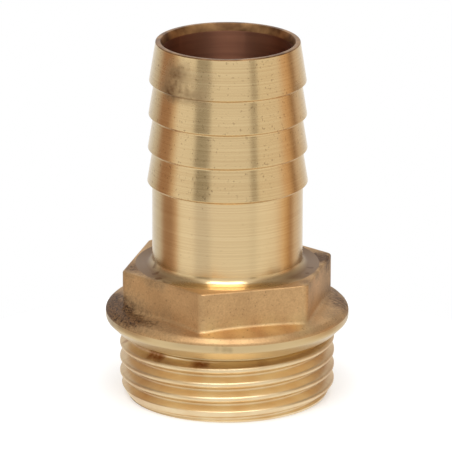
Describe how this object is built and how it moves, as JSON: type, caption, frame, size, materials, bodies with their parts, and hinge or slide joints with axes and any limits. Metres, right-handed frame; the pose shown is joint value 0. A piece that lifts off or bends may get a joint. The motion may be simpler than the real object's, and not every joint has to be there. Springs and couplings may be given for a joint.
{
  "type": "hose barb tail",
  "caption": "Brass hose tail with a ribbed barb end, a wrench hexagon, a flange and a male pipe thread, for joining a hose to a threaded port.",
  "frame": {"origin": "centre of the threaded end's face, on which the fitting stands", "axes": "+Z along the bore, from the threaded end to the hose end; one flat of the hexagon faces -Y"},
  "size_m": [0.0376, 0.0376, 0.0563],
  "materials": {
    "brass": "turned bright on the tail, rim and thread, matte as forged on the hexagon and the flange's top"
  },
  "bodies": {
    "root": {"hose_barb_tail": "brass"}
  },
  "joints": []
}
